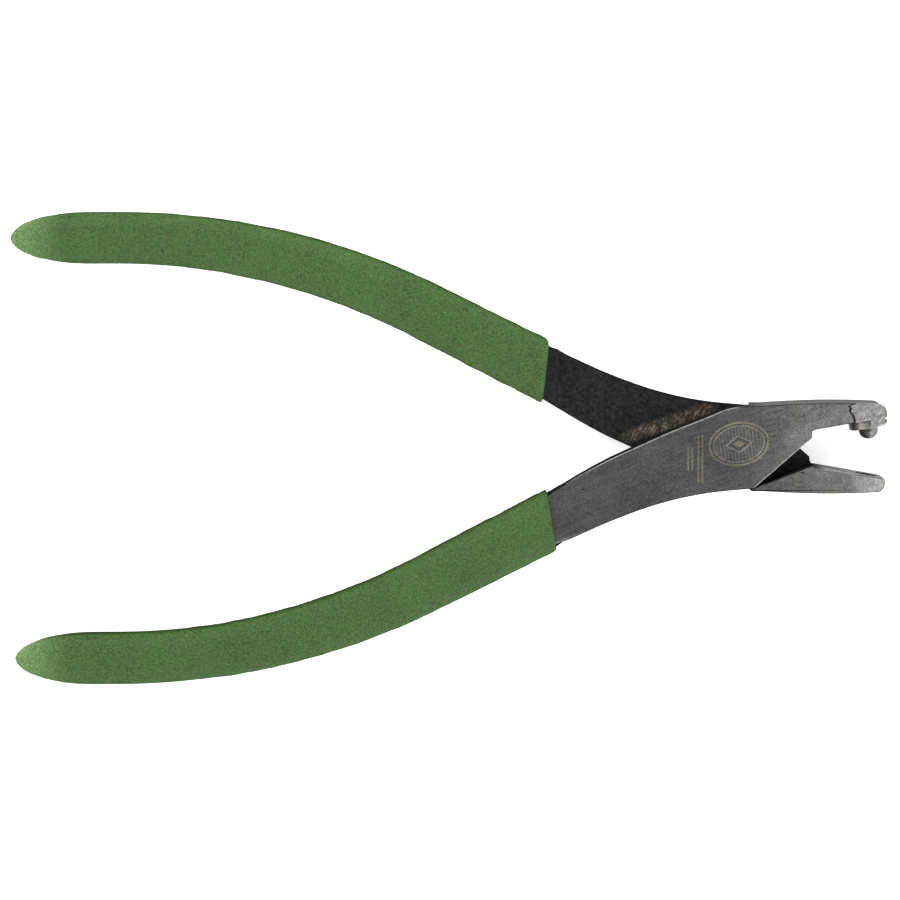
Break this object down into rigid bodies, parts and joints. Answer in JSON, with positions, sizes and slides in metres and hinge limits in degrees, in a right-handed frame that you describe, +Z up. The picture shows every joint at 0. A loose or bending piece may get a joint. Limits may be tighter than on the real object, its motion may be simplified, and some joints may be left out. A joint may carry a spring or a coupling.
{
  "type": "crimping pliers",
  "caption": "Lap-joint hand pliers with a shouldered crimping punch facing a die hole in the jaw tips, and dipped vinyl grips.",
  "frame": {"origin": "bottom centre of the bounding box: the table the tool lies on, under the middle of its length and spread", "axes": "+X along the tool from the handle ends to the jaws, +Y across the spread of the handles towards the upper handle, +Z up through the joint's thickness"},
  "size_m": [0.1662, 0.09, 0.0086],
  "materials": {
    "lever_steel": "ground faces, black oxide on the lap faces, necks and edges",
    "rivet_steel": "ground flush",
    "punch_steel": "turned",
    "braze_filler": "cast, ground flush with the jaw face",
    "grip_vinyl": "matte dipped vinyl"
  },
  "bodies": {
    "rear_half": {"rear_lever": "lever_steel", "rear_grip": "grip_vinyl"},
    "front_half": {"front_lever": "lever_steel", "front_grip": "grip_vinyl", "crimp_punch": "punch_steel", "punch_filler": "braze_filler", "pivot_rivet": "rivet_steel"}
  },
  "joints": [
    {"name": "pivot", "type": "hinge", "parent": "rear_half", "child": "front_half", "pos_m": [0.054, 0, 0.0043], "axis": [0, 0, 1], "range_deg": [-19, 30]}
  ]
}
